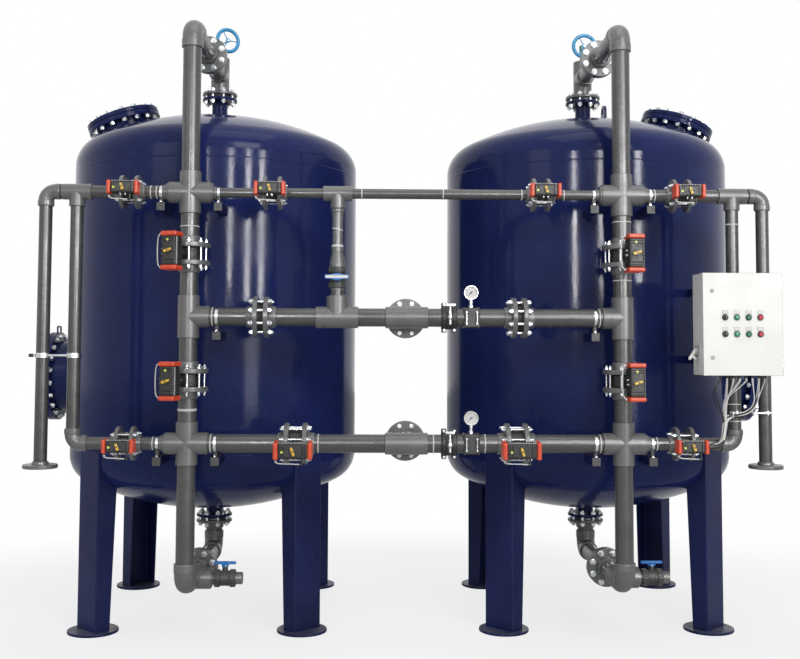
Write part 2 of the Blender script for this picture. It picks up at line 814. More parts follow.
def make_nozzle_riser(name, side, turn, reach):
    """The tee on the top nozzle with its branch flange and the vent valve body."""
    x = side * VESSEL_X
    base = TOP_JOINT_Z + GAP
    height = TOP_RUN_Z + TEE_HALF - base
    steps = [
        (MAIN.thickness, MAIN.flange),
        (TOP_RUN_Z - TEE_HALF - base + BITE, MAIN.socket - BITE),
        (height, MAIN.socket),
    ]
    body = as_part(stepped(name, steps, (x, 0, base), UP), name, PVC, 0.45)
    length = -TOP_RUN_JOINT_Y
    branch = arm(f"{name}_branch", MAIN, (x, 0, TOP_RUN_Z), FRONT, length, TEE_HALF,
                 MAIN.socket - MOULD_STEP)
    top = TOP_RUN_Z + TEE_HALF - BITE
    vent = rod(f"{name}_vent", VENT_RADIUS, (x, 0, top), (x, 0, top + VENT_HEIGHT))
    direction = vent_direction(turn)
    hub = Vector((x, 0, VENT_WHEEL_Z))
    boss = rod(f"{name}_vent_boss", VENT_BOSS, hub, hub + direction * VENT_BOSS_LENGTH)
    fuse(body, branch, vent, boss)
    cut(body, rod(f"{name}_bore", MAIN.bore, (x, 0, base - OVERRUN),
                  (x, 0, TOP_RUN_Z + TEE_HALF - TEE_CAP), INNER_SIDES))
    cut(body, rod(f"{name}_branch_bore", MAIN.bore - MOULD_STEP, (x, OVERRUN, TOP_RUN_Z),
                  (x, TOP_RUN_JOINT_Y - OVERRUN, TOP_RUN_Z), INNER_SIDES))
    cut(body, rod(f"{name}_spindle_hole", running_hole(VENT_SPINDLE),
                  hub + direction * BITE, hub + direction * reach, BORE_SIDES))
    return body


def vent_direction(turn):
    """Level direction of a vent spindle, turned from straight ahead."""
    angle = math.radians(turn)
    return Vector((math.sin(angle), -math.cos(angle), 0))


def make_vent_wheel(name, side, turn, reach):
    """A vent handwheel: rim, spokes, hub and spindle."""
    direction = vent_direction(turn)
    hub = Vector((side * VESSEL_X, 0, VENT_WHEEL_Z))
    centre = hub + direction * reach
    place = Matrix.Translation(centre) @ turn_to(direction)
    spindle_start = VENT_SPINDLE_START
    body = stepped(name, [(reach - spindle_start - WHEEL_HUB_LENGTH / 2, VENT_SPINDLE),
                          (reach - spindle_start + WHEEL_HUB_LENGTH / 2, WHEEL_HUB)],
                   hub + direction * spindle_start, direction, BORE_SIDES)
    as_part(body, name, BLUE, 0.3)
    rim = []
    for step in range(RIM_SIDES):
        angle = 2 * math.pi * step / RIM_SIDES
        rim.append((WHEEL_RADIUS + WHEEL_RIM * math.cos(angle), -WHEEL_RIM * math.sin(angle)))
    rim.append(rim[0])
    ring = turned(f"{name}_rim", rim, centre, direction, WHEEL_SIDES)
    for number in range(WHEEL_SPOKES):
        turn_spoke = Matrix.Rotation(2 * math.pi * number / WHEEL_SPOKES, 4, "Z")
        shift = Matrix.Translation((WHEEL_RADIUS / 2, 0, 0))
        size = (WHEEL_RADIUS, WHEEL_SPOKE, WHEEL_SPOKE)
        fuse(body, block(f"{name}_spoke_{number}", size, place @ turn_spoke @ shift))
    fuse(body, ring)
    return body


def riser_arms(body, side, z, inner_pipe, inner_x, inner_half, inner_stem=FRONT):
    """The two side arms of a cross on the main pipe, each ending at a valve."""
    x = side * VESSEL_X
    inner_length = VESSEL_X - inner_x - inner_half - GAP
    outer_length = OUTER_VALVE_X - SMALL.half - GAP - VESSEL_X
    origin = (x, PIPE_Y, z)
    socket = MAIN.socket - MOULD_STEP
    fuse(body, arm(f"{body.name}_inner_arm", inner_pipe, origin, (-side, 0, 0), inner_length,
                   TEE_HALF, socket))
    fuse(body, arm(f"{body.name}_outer_arm", SIDE, origin, (side, 0, 0), outer_length,
                   TEE_HALF, socket))
    inner_face = Vector((x - side * inner_length, PIPE_Y, z))
    outer_face = Vector((x + side * outer_length, PIPE_Y, z))
    stud_ring(body, inner_pipe, inner_face, (-side, 0, 0), 2 * inner_half, inner_stem)
    stud_ring(body, SIDE, outer_face, (side, 0, 0), 2 * SMALL.half)
    return inner_face, outer_face


def cut_arms(body, side, z, inner_bore, faces):
    """Bores of the two side arms."""
    centre = Vector((side * VESSEL_X, PIPE_Y, z))
    step = Vector((side * OVERRUN, 0, 0))
    cut(body, rod(f"{body.name}_inner_bore", inner_bore, centre + step, faces[0] - step,
                  INNER_SIDES))
    cut_split(body, rod(f"{body.name}_outer_bore", SIDE.bore - MOULD_STEP, centre - step,
                        faces[1] + step, INNER_SIDES))


def make_face_riser(name, side):
    """Upper front pipe: top run, elbow, upper cross and its arms, down to the upper valve."""
    x = side * VESSEL_X
    base = UPPER_MAIN_VALVE_Z + BIG.half + GAP
    steps = [
        (MAIN.thickness, MAIN.flange),
        (UPPER_Z - TEE_HALF - base, MAIN.radius),
        (UPPER_Z + TEE_HALF - base, MAIN.socket),
        (TOP_RUN_Z - TEE_HALF - base + OVERRUN, MAIN.radius),
    ]
    body = as_part(stepped(name, steps, (x, PIPE_Y, base), UP), name, PVC, 0.42)
    corner = (x, PIPE_Y, TOP_RUN_Z)
    fuse(body, elbow(f"{name}_elbow", corner, UP, BACK, TEE_HALF, MAIN.socket, ELBOW_BEND))
    start = (x, PIPE_Y + TEE_HALF - OVERRUN, TOP_RUN_Z)
    length = TOP_RUN_JOINT_Y - GAP - start[1]
    fuse(body, stepped(f"{name}_run", flange_end(length, MAIN), start, BACK))
    faces = riser_arms(body, side, UPPER_Z, BRINE, INNER_UPPER_VALVE_X, SMALL.half)
    stud_ring(body, MAIN, (x, PIPE_Y, base), DOWN, 2 * BIG.half, main_stem(side))
    route = [Vector((x, PIPE_Y, base - OVERRUN))]
    route += bend(corner, UP, BACK, ELBOW_BEND)
    route.append(Vector((x, TOP_RUN_JOINT_Y + OVERRUN, TOP_RUN_Z)))
    cut(body, tube(f"{name}_bore", route, MAIN.bore, INNER_SIDES))
    cut_arms(body, side, UPPER_Z, BRINE.bore, faces)
    return body


def make_mid_spool(name, side, joint_x):
    """Front pipe between the two main valves, with the tee to the middle header."""
    x = side * VESSEL_X
    base = LOWER_MAIN_VALVE_Z + BIG.half + GAP
    top = UPPER_MAIN_VALVE_Z - BIG.half - GAP
    steps = [
        (MAIN.thickness, MAIN.flange),
        (MIDDLE_Z - TEE_HALF - base, MAIN.radius),
        (MIDDLE_Z + TEE_HALF - base, MAIN.socket),
        (top - base - MAIN.thickness, MAIN.radius),
        (top - base, MAIN.flange),
    ]
    body = as_part(stepped(name, steps, (x, PIPE_Y, base), UP), name, PVC, 0.42)
    length = abs(x - joint_x) - SPACER_HALF - GAP
    socket = MAIN.socket - MOULD_STEP
    origin = Vector((x, PIPE_Y, MIDDLE_Z))
    inward = Vector((-side, 0, 0))
    fuse(body, arm(f"{name}_branch", MAIN, origin, inward, length, TEE_HALF, socket))
    stud_ring(body, MAIN, (x, PIPE_Y, base), DOWN, 2 * BIG.half, main_stem(side))
    stud_ring(body, MAIN, origin + inward * length, inward, 2 * SPACER_HALF)
    cut(body, rod(f"{name}_bore", MAIN.bore, (x, PIPE_Y, base - OVERRUN),
                  (x, PIPE_Y, top + OVERRUN), INNER_SIDES))
    cut(body, rod(f"{name}_branch_bore", MAIN.bore - MOULD_STEP, origin - inward * OVERRUN,
                  origin + inward * (length + OVERRUN), INNER_SIDES))
    return body


def ball_valve_steps(start):
    """Steps of a union ball valve body along its pipe."""
    first = start + BALL_NUT_LENGTH
    second = first + BALL_BODY_LENGTH
    third = second + BALL_NUT_LENGTH
    return [
        (first, BALL_NUT), (second, BALL_BODY), (third, BALL_NUT),
        (third + BALL_TAIL_LENGTH, BALL_TAIL),
    ]


def cut_ball_seat(body, centre, stem_direction):
    """The round cavity and the stem hole of a ball valve body."""
    centre = Vector(centre)
    cut(body, ball(f"{body.name}_seat", BALL_CAVITY, centre))
    cut(body, rod(f"{body.name}_stem_hole", running_hole(BALL_STEM), centre,
                  centre + Vector(stem_direction) * HANDLE_RISE, BORE_SIDES))


def drain_ball_centre(side):
    """Centre of the drain valve's ball."""
    reach = DRAIN_START + BALL_NUT_LENGTH + BALL_BODY_LENGTH / 2
    return Vector((side * VESSEL_X + reach, PIPE_Y + DRAIN_TEE_SETBACK, BOTTOM_RUN_Z))


def make_lower_spool(name, side):
    """Lower front pipe: lower cross and arms, bottom elbow, drain tee and drain valve body."""
    x = side * VESSEL_X
    top = LOWER_MAIN_VALVE_Z - BIG.half - GAP
    base = BOTTOM_RUN_Z + TEE_HALF - OVERRUN
    steps = [
        (LOWER_Z - TEE_HALF - base, MAIN.radius),
        (LOWER_Z + TEE_HALF - base, MAIN.socket),
        (top - base - MAIN.thickness, MAIN.radius),
        (top - base, MAIN.flange),
    ]
    body = as_part(stepped(name, steps, (x, PIPE_Y, base), UP), name, PVC, 0.42)
    corner = (x, PIPE_Y, BOTTOM_RUN_Z)
    fuse(body, elbow(f"{name}_elbow", corner, DOWN, BACK, TEE_HALF, MAIN.socket, ELBOW_BEND))
    start = (x, PIPE_Y + TEE_HALF - OVERRUN, BOTTOM_RUN_Z)
    length = BOTTOM_RUN_JOINT_Y - GAP - start[1]
    tee_end = DRAIN_TEE_SETBACK + MAIN.socket - TEE_HALF + 3 * OVERRUN
    run = [(tee_end, MAIN.socket - MOULD_STEP)] + flange_end(length, MAIN)
    fuse(body, stepped(f"{name}_run", run, start, BACK))
    branch = [(TEE_HALF, MAIN.socket - 2 * MOULD_STEP), (DRAIN_START, DRAIN_PIPE_RADIUS)]
    tee = Vector((x, PIPE_Y + DRAIN_TEE_SETBACK, BOTTOM_RUN_Z))
    fuse(body, stepped(f"{name}_drain", branch + ball_valve_steps(DRAIN_START), tee, RIGHT))
    centre = drain_ball_centre(side)
    fuse(body, rod(f"{name}_drain_boss", BALL_BOSS, centre,
                   centre + UP * (HANDLE_RISE - HANDLE_HEIGHT), BORE_SIDES))
    faces = riser_arms(body, side, LOWER_Z, MAIN, INNER_LOWER_VALVE_X, BIG.half,
                       stem_direction(RIGHT, LOWER_INNER_TILT))
    route = [Vector((x, PIPE_Y, top + OVERRUN))]
    route += bend(corner, DOWN, BACK, ELBOW_BEND)
    route.append(Vector((x, BOTTOM_RUN_JOINT_Y + OVERRUN, BOTTOM_RUN_Z)))
    cut(body, tube(f"{name}_bore", route, MAIN.bore, INNER_SIDES))
    cut_arms(body, side, LOWER_Z, MAIN.bore - MOULD_STEP, faces)
    end = DRAIN_START + ball_valve_steps(0.0)[-1][0] + OVERRUN
    cut_split(body, rod(f"{name}_drain_bore", BALL_BORE, tee + LEFT * OVERRUN,
                        tee + RIGHT * end, INNER_SIDES))
    cut_ball_seat(body, centre, UP)
    return body


def make_bottom_riser(name, side):
    """Pipe from the bottom run's flange to the bottom nozzle, with one elbow."""
    x = side * VESSEL_X
    start = (x, BOTTOM_RUN_JOINT_Y, BOTTOM_RUN_Z)
    length = -BOTTOM_RUN_JOINT_Y - TEE_HALF + OVERRUN
    steps = [(MAIN.thickness, MAIN.flange), (length, MAIN.radius)]
    body = as_part(stepped(name, steps, start, BACK), name, PVC, 0.5)
    corner = (x, 0, BOTTOM_RUN_Z)
    fuse(body, elbow(f"{name}_elbow", corner, BACK, UP, TEE_HALF, MAIN.socket, ELBOW_BEND))
    neck = (x, 0, BOTTOM_RUN_Z + TEE_HALF - OVERRUN)
    rise = BOTTOM_JOINT_Z - GAP - neck[2]
    steps = [(rise - MAIN.thickness, MAIN.socket - MOULD_STEP), (rise, MAIN.flange)]
    fuse(body, stepped(f"{name}_neck", steps, neck, UP))
    route = [Vector((x, BOTTOM_RUN_JOINT_Y - OVERRUN, BOTTOM_RUN_Z))]
    route += bend(corner, BACK, UP, ELBOW_BEND)
    route.append(Vector((x, 0, BOTTOM_JOINT_Z + OVERRUN)))
    cut(body, tube(f"{name}_bore", route, MAIN.bore, INNER_SIDES))
    return body


def make_side_pipes(name, side, strap_z):
    """Outer pipes: upper branch, inner and outer drops, open end flange and strap."""
    outward = Vector((side, 0, 0))
    inner_x = side * INNER_DROP_X
    outer_x = side * OUTER_DROP_X
    start = Vector((side * (OUTER_VALVE_X + SMALL.half + GAP), PIPE_Y, UPPER_Z))
    tee = INNER_DROP_X - abs(start.x)
    end = OUTER_DROP_X - SIDE_TEE_HALF - abs(start.x) + OVERRUN
    steps = [
        (SIDE.thickness, SIDE.flange),
        (tee - SIDE_TEE_HALF, SIDE.radius), (tee + SIDE_TEE_HALF, SIDE.socket),
        (end, SIDE.radius),
    ]
    body = as_part(stepped(name, steps, start, outward), name, PVC, 0.42)
    fuse(body, elbow(f"{name}_top_elbow", (outer_x, PIPE_Y, UPPER_Z), outward, DOWN,
                     SIDE_TEE_HALF, SIDE.socket + MOULD_STEP, SIDE_ELBOW_BEND))
    drop_start = Vector((outer_x, PIPE_Y, UPPER_Z - SIDE_TEE_HALF + OVERRUN))
    drop = stepped(f"{name}_outer_drop", flange_end(drop_start.z - DROP_END_Z, SIDE), drop_start,
                   DOWN)
    inner_start = Vector((inner_x, PIPE_Y, UPPER_Z))
    inner_length = UPPER_Z - LOWER_Z - SIDE_TEE_HALF + OVERRUN
    inner_steps = [(SIDE_TEE_HALF, SIDE.socket - MOULD_STEP), (inner_length, SIDE.radius)]
    inner = stepped(f"{name}_inner_drop", inner_steps, inner_start, DOWN)
    low = elbow(f"{name}_low_elbow", (inner_x, PIPE_Y, LOWER_Z), DOWN, -outward, SIDE_TEE_HALF,
                SIDE.socket, SIDE_ELBOW_BEND)
    low_start = Vector((inner_x - side * (SIDE_TEE_HALF - OVERRUN), PIPE_Y, LOWER_Z))
    low_length = abs(low_start.x) - OUTER_VALVE_X - SMALL.half - GAP
    run = stepped(f"{name}_low_run", flange_end(low_length, SIDE), low_start, -outward)
    strap = rod(f"{name}_strap", STRAP_RADIUS, (inner_x, PIPE_Y, strap_z),
                (outer_x, PIPE_Y, strap_z), BORE_SIDES)
    fuse(body, drop, inner, low, run, strap)
    upper = [start - outward * OVERRUN]
    upper += bend((outer_x, PIPE_Y, UPPER_Z), outward, DOWN, SIDE_ELBOW_BEND)
    upper.append(Vector((outer_x, PIPE_Y, DROP_END_Z - OVERRUN)))
    cut(body, tube(f"{name}_upper_bore", upper, SIDE.bore, BORE_SIDES))
    lower = [Vector((inner_x, PIPE_Y, UPPER_Z + OVERRUN))]
    lower += bend((inner_x, PIPE_Y, LOWER_Z), DOWN, -outward, SIDE_ELBOW_BEND)
    lower.append(low_start - outward * (low_length + OVERRUN))
    cut(body, tube(f"{name}_lower_bore", lower, SIDE.bore - MOULD_STEP, INNER_SIDES))
    return body


def brine_valve_centre():
    """Centre of the brine valve's ball."""
    z = UPPER_Z - (BRINE_VALVE_TOP + BRINE_VALVE_BOTTOM) / 2
    return Vector((BRINE_TEE_X, PIPE_Y, z))


def make_brine_line(name):
    """The thin upper line with its tee, and the column with the brine valve body."""
    half = INNER_UPPER_VALVE_X - SMALL.half - GAP
    left = BRINE_TEE_X + half
    steps = [
        (BRINE.thickness, BRINE.flange),
        (left - SIDE_TEE_HALF, BRINE.radius), (left + SIDE_TEE_HALF, BRINE.socket),
        (2 * half - BRINE.thickness, BRINE.radius), (2 * half, BRINE.flange),
    ]
    body = as_part(stepped(name, steps, (-half, PIPE_Y, UPPER_Z), RIGHT), name, PVC, 0.4)
    top = Vector((BRINE_TEE_X, PIPE_Y, UPPER_Z))
    end = UPPER_Z - MIDDLE_Z - MAIN.radius
    middle = (BRINE_VALVE_TOP + BRINE_VALVE_BOTTOM) / 2
    body_half = BALL_BODY_LENGTH / 2
    profile = [
        (0.0, 0.0), (BRINE.socket - MOULD_STEP, 0.0), (BRINE.socket - MOULD_STEP, COLUMN_NUT[0]),
        (COLUMN_NUT[2], COLUMN_NUT[0]), (COLUMN_NUT[2], COLUMN_NUT[1]),
        (COLUMN_CONE[2], COLUMN_CONE[0]), (BRINE.radius, COLUMN_CONE[1]),
        (BRINE.radius, COLUMN_UNION[0]), (COLUMN_UNION[2], COLUMN_UNION[0]),
        (COLUMN_UNION[2], COLUMN_UNION[1]), (COLUMN_FLARE_RADIUS, COLUMN_FLARE_END - BITE),
        (BALL_NUT, BRINE_VALVE_TOP + BITE), (BALL_NUT, middle - body_half),
        (BALL_BODY, middle - body_half), (BALL_BODY, middle + body_half),
        (BALL_NUT, middle + body_half), (BALL_NUT, BRINE_VALVE_BOTTOM),
        (SIDE.radius, BRINE_VALVE_BOTTOM), (SIDE.radius, end), (0.0, end),
    ]
    column = turned(f"{name}_column", profile[::-1], top, DOWN)
    centre = brine_valve_centre()
    boss = rod(f"{name}_boss", BALL_BOSS, centre, centre + FRONT * (HANDLE_RISE - HANDLE_HEIGHT),
               BORE_SIDES)
    fuse(body, column, boss)
    cut(body, rod(f"{name}_bore", BRINE.bore, (-half - OVERRUN, PIPE_Y, UPPER_Z),
                  (half + OVERRUN, PIPE_Y, UPPER_Z), INNER_SIDES))
    cut(body, rod(f"{name}_column_bore", BALL_BORE, top + UP * OVERRUN,
                  top + DOWN * (end + OVERRUN), INNER_SIDES))
    cut_ball_seat(body, centre, FRONT)
    return body


def make_header(name, left_x, right_x, z, spacer, brine_tee):
    """A level header with its port tee, sample saddle, gauge block and gauge case."""
    lead = 2 * SPACER_HALF if spacer else 0.0
    length = right_x - left_x
    steps = [(lead, SPACER_RADIUS)] if spacer else []
    steps.append((lead + MAIN.thickness, MAIN.flange))
    if brine_tee:
        steps += [
            (BRINE_TEE_X - TEE_HALF - left_x, MAIN.radius),
            (BRINE_TEE_X + TEE_HALF - left_x, MAIN.socket),
        ]
    steps += [
        (-TEE_HALF - left_x, MAIN.radius),
        (TEE_HALF - left_x, MAIN.socket),
        (length - lead - MAIN.thickness, MAIN.radius),
        (length - lead, MAIN.flange),
    ]
    if spacer:
        steps.append((length, SPACER_RADIUS))
    body = as_part(stepped(name, steps, (left_x, PIPE_Y, z), RIGHT), name, PVC, 0.42)
    port = Vector((0, PIPE_Y, z))
    fuse(body, arm(f"{name}_port", MAIN, port, BACK, PORT_REACH, TEE_HALF,
                   MAIN.socket - MOULD_STEP))
    start = (SAMPLE_X - SAMPLE_HALF, PIPE_Y, z)
    end = (SAMPLE_X + SAMPLE_HALF, PIPE_Y, z)
    fuse(body, rod(f"{name}_sample_saddle", SAMPLE_RADIUS, start, end))
    size = (GAUGE_BLOCK, GAUGE_BLOCK_HEIGHT, GAUGE_BLOCK_HEIGHT)
    place = Matrix.Translation((GAUGE_X, PIPE_Y, z))
    fuse(body, block(f"{name}_gauge_block", size, place))
    gauge = Vector((GAUGE_X, PIPE_Y, z + GAUGE_RISE))
    stem_end = gauge + DOWN * (GAUGE_RADIUS - GAUGE_RIM + GAP)
    fuse(body, rod(f"{name}_gauge_stem", GAUGE_STEM_RADIUS, (GAUGE_X, PIPE_Y, z), stem_end,
                   BORE_SIDES))
    front = GAUGE_DEPTH / 2
    floor = front - GAUGE_RECESS
    wall = GAUGE_RADIUS - GAUGE_RIM
    profile = [
        (0.0, floor), (wall, floor), (wall, front), (GAUGE_RADIUS, front),
        (GAUGE_RADIUS, -front), (0.0, -front),
    ]
    fuse(body, turned(f"{name}_gauge_case", profile, gauge, FRONT, HATCH_SIDES))
    tee = Vector((BRINE_TEE_X, PIPE_Y, z))
    if brine_tee:
        fuse(body, rod(f"{name}_brine_branch", MAIN.socket - MOULD_STEP, tee, tee + UP * TEE_HALF))
    cut(body, rod(f"{name}_bore", MAIN.bore, (left_x - OVERRUN, PIPE_Y, z),
                  (right_x + OVERRUN, PIPE_Y, z), INNER_SIDES))
    cut(body, rod(f"{name}_port_bore", MAIN.bore - MOULD_STEP, port + FRONT * OVERRUN,
                  port + BACK * (PORT_REACH + OVERRUN), BORE_SIDES))
    if brine_tee:
        cut_split(body, rod(f"{name}_brine_bore", running_hole(SIDE.radius, PIPE_SIDES),
                            tee + UP * OVERRUN, tee + UP * (TEE_HALF + OVERRUN), PIPE_SIDES))
    return body


def make_gauge_pointer(name, z):
    """The needle of a pressure gauge, in the recess of its case."""
    floor = GAUGE_DEPTH / 2 - GAUGE_RECESS + GAP
    origin = Vector((GAUGE_X, PIPE_Y, z + GAUGE_RISE)) + FRONT * floor
    thickness = GAUGE_POINTER[2]
    body = rod(name, GAUGE_HUB, origin, origin + FRONT * (thickness + MOULD_STEP), BORE_SIDES)
    as_part(body, name, BLACK, 0.4)
    place = Matrix.Translation(origin + FRONT * thickness / 2) @ turn_to(FRONT)
    place = place @ Matrix.Rotation(math.radians(GAUGE_REST_ANGLE), 4, "Z")
    shift = Matrix.Translation((GAUGE_POINTER[0] / 2 - GAUGE_HUB * 2, 0, 0))
    fuse(body, block(f"{name}_needle", GAUGE_POINTER, place @ shift))
    return body


def valve_frame(centre, along, stem):
    """Placement with X along the pipe and Z along the stem."""
    across = stem.cross(along)
    frame = Matrix((along, across, stem)).transposed().to_4x4()
    return Matrix.Translation(centre) @ frame


def make_valve(name, valve, centre, along, tilt):
    """A wafer valve body with its neck, actuator and end caps."""
    stem = stem_direction(along, tilt)
    frame = valve_frame(centre, along, stem)
    start = centre - along * valve.half
    body = rod(name, valve.wafer, start, centre + along * valve.half)
    as_part(body, name, BLACK, 0.5)
    length, width, height = valve.actuator
    middle = valve.reach + height / 2
    neck_start = centre + stem * (valve.wafer * NECK_SINK)
    neck = rod(f"{name}_neck", valve.stem * NECK_SCALE, neck_start,
               centre + stem * (valve.reach + BITE), INNER_SIDES)
    chest = block(f"{name}_chest", valve.actuator, frame @ Matrix.Translation((0, 0, middle)))
    fuse(body, neck, chest)
    cap_size = (valve.cap, width + 2 * CAP_LIP, height + 2 * CAP_LIP)
    for number, sign in enumerate((-1, 1)):
        shift = Matrix.Translation((sign * (length + valve.cap - BITE) / 2, 0, middle))
        fuse(body, block(f"{name}_cap_{number}", cap_size, frame @ shift))
    cut(body, rod(f"{name}_bore", valve.pipe.bore, start - along * OVERRUN,
                  centre + along * (valve.half + OVERRUN)))
    end = centre + stem * (valve.reach + height + OVERRUN)
    cut_split(body, rod(f"{name}_stem_hole", running_hole(valve.stem, INNER_SIDES),
                        centre + stem * STEM_HOLE_START, end, INNER_SIDES))
    return body


def make_rotor(name, valve, centre, along, tilt):
    """The turning part of a valve: disc, stem and position pointer."""
    stem = stem_direction(along, tilt)
    frame = valve_frame(centre, along, stem)
    disc_radius = valve.pipe.bore * math.cos(math.pi / PIPE_SIDES) - DISC_CLEARANCE
    face = valve.reach + valve.actuator[2] + GAP
    body = rod(name, valve.stem, centre + stem * (disc_radius - STEM_INSET),
               centre + stem * (face + BITE), INNER_SIDES)
    as_part(body, name, (0.75, 0.62, 0.08), 0.45)
    fuse(body, rod(f"{name}_disc", disc_radius, centre - along * DISC_HALF,
                   centre + along * DISC_HALF))
    turn = Matrix.Rotation(math.radians(POINTER_ANGLE), 4, "Z")
    size = (valve.actuator[1] * POINTER_SPAN, POINTER_WIDTH, POINTER_THICKNESS)
    shift = Matrix.Translation((0, 0, face + POINTER_THICKNESS / 2))
    fuse(body, block(f"{name}_pointer", size, frame @ shift @ turn))
    return body


def valve_table():
    """Name, kind, centre, pipe direction and tilt of the twelve valves."""
    rows = []
    for side, word in ((-1, "left"), (1, "right")):
        main_tilt = -LEFT_MAIN_TILT if side < 0 else RIGHT_MAIN_TILT
        x = side * VESSEL_X
        rows += [
            (f"{word}_upper_outer", SMALL, (side * OUTER_VALVE_X, UPPER_Z), RIGHT, 0.0),
            (f"{word}_upper_inner", SMALL, (side * INNER_UPPER_VALVE_X, UPPER_Z), RIGHT, 0.0),
            (f"{word}_upper_main", BIG, (x, UPPER_MAIN_VALVE_Z), DOWN, main_tilt),
            (f"{word}_lower_main", BIG, (x, LOWER_MAIN_VALVE_Z), DOWN, main_tilt),
            (f"{word}_lower_inner", BIG, (side * INNER_LOWER_VALVE_X, LOWER_Z), RIGHT,
             LOWER_INNER_TILT),
            (f"{word}_lower_outer", SMALL, (side * OUTER_VALVE_X, LOWER_Z), RIGHT, 0.0),
        ]
    return rows


def make_valves():
    """All valve bodies and their turning parts."""
    for name, valve, (x, z), along, tilt in valve_table():
        centre = Vector((x, PIPE_Y, z))
        make_valve(f"{name}_valve", valve, centre, along, tilt)
        make_rotor(f"{name}_disc", valve, centre, along, tilt)


def make_ball_handle(name, centre, stem, length, thickness):
    """The turning part of a ball valve: pierced ball, stem and bar handle along X."""
    stem = Vector(stem)
    bar_middle = HANDLE_RISE - HANDLE_HEIGHT / 2 + 2 * GAP
    body = rod(name, BALL_STEM, centre, centre + stem * bar_middle, BORE_SIDES)
    as_part(body, name, BLUE, 0.35)
    sphere = ball(f"{name}_ball", BALL_RADIUS, centre)
    bore = rod(f"{name}_ball_bore", BALL_HOLE, centre + LEFT * BALL_CAVITY,
               centre + RIGHT * BALL_CAVITY, BORE_SIDES)
    if abs(stem.z) > 0.5:
        size = (length, thickness, HANDLE_HEIGHT)
    else:
        size = (length, HANDLE_HEIGHT, thickness)
    bar = block(f"{name}_bar", size, Matrix.Translation(centre + stem * bar_middle))
    fuse(body, sphere, bar)
    cut(body, bore)
    return body


def door_front():
    """Y of the door's outer face."""
    return CABINET_BACK_Y - CABINET_DEPTH - GAP - DOOR_THICKNESS


def control_point(column, row):
    """Centre of a control on the door's outer face."""
    x = CABINET_X + CONTROL_X + column * CONTROL_PITCH
    z = CABINET_Z + CONTROL_Z + row * CONTROL_ROW_PITCH
    return Vector((x, door_front(), z))


def hinge_point(z):
    """A point on the door's hinge line."""
    x = CABINET_X + CABINET_WIDTH + HINGE_RADIUS + GAP
    return Vector((x, CABINET_BACK_Y - CABINET_DEPTH - GAP / 2, z))


def hinge_barrel(name, low, high, toward):
    """A hinge barrel with a leaf that reaches on to the door or the box."""
    barrel = rod(name, HINGE_RADIUS, hinge_point(low), hinge_point(high), BORE_SIDES)
    leaf_y = hinge_point(0).y + toward * (HINGE_RADIUS / 2 + GAP)
    size = (3 * HINGE_RADIUS, HINGE_RADIUS, high - low - BITE)
    x = CABINET_X + CABINET_WIDTH - HINGE_RADIUS / 2
    leaf = block(f"{name}_leaf", size, Matrix.Translation((x, leaf_y, (low + high) / 2)))
    fuse(barrel, leaf)
    return barrel


def hinge_heights():
    """Middle heights of the two hinges."""
    return (CABINET_Z + HINGE_INSET, CABINET_Z + CABINET_HEIGHT - HINGE_INSET)


def make_cabinet_box(name):
    """The open sheet-metal box with its switch base, cable glands and hinge barrels."""
    depth = CABINET_DEPTH
    middle = Vector((CABINET_X + CABINET_WIDTH / 2, CABINET_BACK_Y - depth / 2,
                     CABINET_Z + CABINET_HEIGHT / 2))
    body = block(name, (CABINET_WIDTH, depth, CABINET_HEIGHT), Matrix.Translation(middle))
    as_part(body, name, GREY_WHITE, 0.4)
    switch = Vector((CABINET_X, middle.y, SWITCH_Z))
    fuse(body, rod(f"{name}_switch_base", SWITCH_BASE, switch + RIGHT * CABINET_WALL / 2,
                   switch + LEFT * SWITCH_BASE_PROUD))
    for number in range(GLANDS):
        point = gland_point(number)
        fuse(body, rod(f"{name}_gland_{number}", GLAND_RADIUS, point + UP * CABINET_WALL / 2,
                       point + DOWN * GLAND_LENGTH, STUD_SIDES))
    for number, z in enumerate(hinge_heights()):
        high = z - GAP
        fuse(body, hinge_barrel(f"{name}_barrel_{number}", high - HINGE_LENGTH / 2, high, 1))
    inside = (CABINET_WIDTH - 2 * CABINET_WALL, depth, CABINET_HEIGHT - 2 * CABINET_WALL)
    shift = Matrix.Translation(middle + FRONT * CABINET_WALL)
    cut(body, block(f"{name}_inside", inside, shift))
    cut(body, rod(f"{name}_switch_hole", running_hole(SWITCH_SPINDLE),
                  switch + RIGHT * 2 * CABINET_WALL, switch + LEFT * 2 * SWITCH_BASE_PROUD,
                  BORE_SIDES))
    return body


def gland_point(number):
    """Centre of a cable gland on the underside of the box."""
    x = CABINET_X + CABINET_WIDTH * (GLAND_START_SHARE + number * GLAND_SHARE)
    return Vector((x, CABINET_BACK_Y - CABINET_DEPTH / 2, CABINET_Z))


